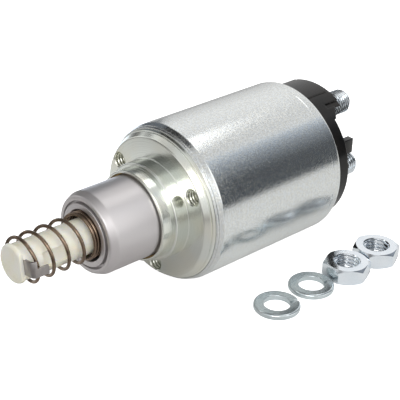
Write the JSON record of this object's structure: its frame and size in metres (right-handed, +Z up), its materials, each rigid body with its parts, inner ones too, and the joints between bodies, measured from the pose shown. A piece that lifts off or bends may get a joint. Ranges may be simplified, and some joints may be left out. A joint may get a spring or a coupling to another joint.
{
  "type": "starter solenoid",
  "caption": "Cylindrical starter motor solenoid with a sprung pull-in plunger, moulded switch cap, threaded terminal studs and loose terminal hardware.",
  "frame": {"origin": "on the coil axis in the plane of the front mounting face, at the root of the pilot boss", "axes": "+X along the coil axis towards the terminals, +Z up, the plunger points towards -X; the can lies on its side"},
  "size_m": [0.1631, 0.0881, 0.063],
  "materials": {
    "zinc_can": "zinc plated, fine brushed sheen",
    "zinc_face": "zinc plated, turned",
    "ground_steel": "ground bare steel",
    "core_iron": "turned soft iron",
    "brass": "drawn brass",
    "copper": "bright copper",
    "winding_copper": "enamelled copper wire",
    "black_plastic": "moulded, satin",
    "ivory_plastic": "moulded nylon, satin",
    "bobbin_plastic": "moulded glass-filled nylon",
    "wrap_paper": "varnished paper",
    "rubber": "moulded rubber",
    "spring_bronze": "dark oiled spring wire",
    "spring_steel": "bright spring wire",
    "clip_steel": "stamped steel strip",
    "zinc_hardware": "bright bluish zinc plate"
  },
  "bodies": {
    "housing": {"can": "zinc_can", "front_plate": "zinc_face", "guide_sleeve": "brass", "coil_bobbin": "bobbin_plastic", "pull_in_winding": "winding_copper", "hold_in_winding": "winding_copper", "coil_wrap": "wrap_paper", "fixed_core": "core_iron", "core_plate": "core_iron", "rod_bush": "brass", "cap_seal": "rubber", "switch_cap": "black_plastic", "battery_terminal": "zinc_hardware", "motor_terminal": "zinc_hardware", "stud_seals": "rubber", "stud_washers": "zinc_hardware", "control_terminal": "zinc_hardware", "plunger_return_spring": "spring_steel", "contact_return_spring": "spring_steel"},
    "plunger": {"plunger": "ground_steel", "push_disc": "ground_steel", "engagement_spring": "spring_bronze"},
    "stem": {"stem": "ivory_plastic", "spring_clip": "clip_steel"},
    "contact_rod": {"contact_rod": "ground_steel", "rod_washer": "ground_steel", "rod_clip": "clip_steel", "contact_spring": "spring_steel"},
    "bridge": {"contact_bridge": "copper", "bridge_insulator": "bobbin_plastic", "insulator_ring": "bobbin_plastic"},
    "nut_1": {"terminal_nut_1": "zinc_hardware"},
    "nut_2": {"terminal_nut_2": "zinc_hardware"},
    "washer_1": {"spring_washer_1": "zinc_hardware"},
    "washer_2": {"spring_washer_2": "zinc_hardware"}
  },
  "joints": [
    {"name": "plunger_pull_in", "type": "slide", "parent": "housing", "child": "plunger", "axis": [1, 0, 0], "range_m": [0, 0.0115], "stiffness_N_per_m": 1200, "springref_m": -0.012, "deforming": ["plunger_return_spring"]},
    {"name": "stem_push_in", "type": "slide", "parent": "plunger", "child": "stem", "axis": [1, 0, 0], "range_m": [0, 0.004], "stiffness_N_per_m": 1500, "springref_m": -0.004, "deforming": ["engagement_spring"]},
    {"name": "contact_rod_slide", "type": "slide", "parent": "housing", "child": "contact_rod", "axis": [1, 0, 0], "range_m": [0, 0.003], "deforming": ["contact_return_spring"]},
    {"name": "bridge_slip", "type": "slide", "parent": "contact_rod", "child": "bridge", "axis": [1, 0, 0], "range_m": [-0.00075, 0], "deforming": ["contact_spring"]},
    {"name": "nut_1_slide_off", "type": "slide", "parent": "housing", "child": "nut_1", "axis": [0, -1, 0], "range_m": [0, 0.03]},
    {"name": "nut_2_slide_off", "type": "slide", "parent": "housing", "child": "nut_2", "axis": [0, -1, 0], "range_m": [0, 0.03]},
    {"name": "washer_1_slide_off", "type": "slide", "parent": "housing", "child": "washer_1", "axis": [-0.2588, -0.9659, 0], "range_m": [0, 0.03]},
    {"name": "washer_2_slide_off", "type": "slide", "parent": "housing", "child": "washer_2", "axis": [-0.2588, -0.9659, 0], "range_m": [0, 0.03]}
  ],
  "couplings": [
    {"joint": "contact_rod_slide", "follows": "plunger_pull_in", "ratio": 0.26},
    {"joint": "bridge_slip", "follows": "plunger_pull_in", "ratio": -0.065}
  ]
}
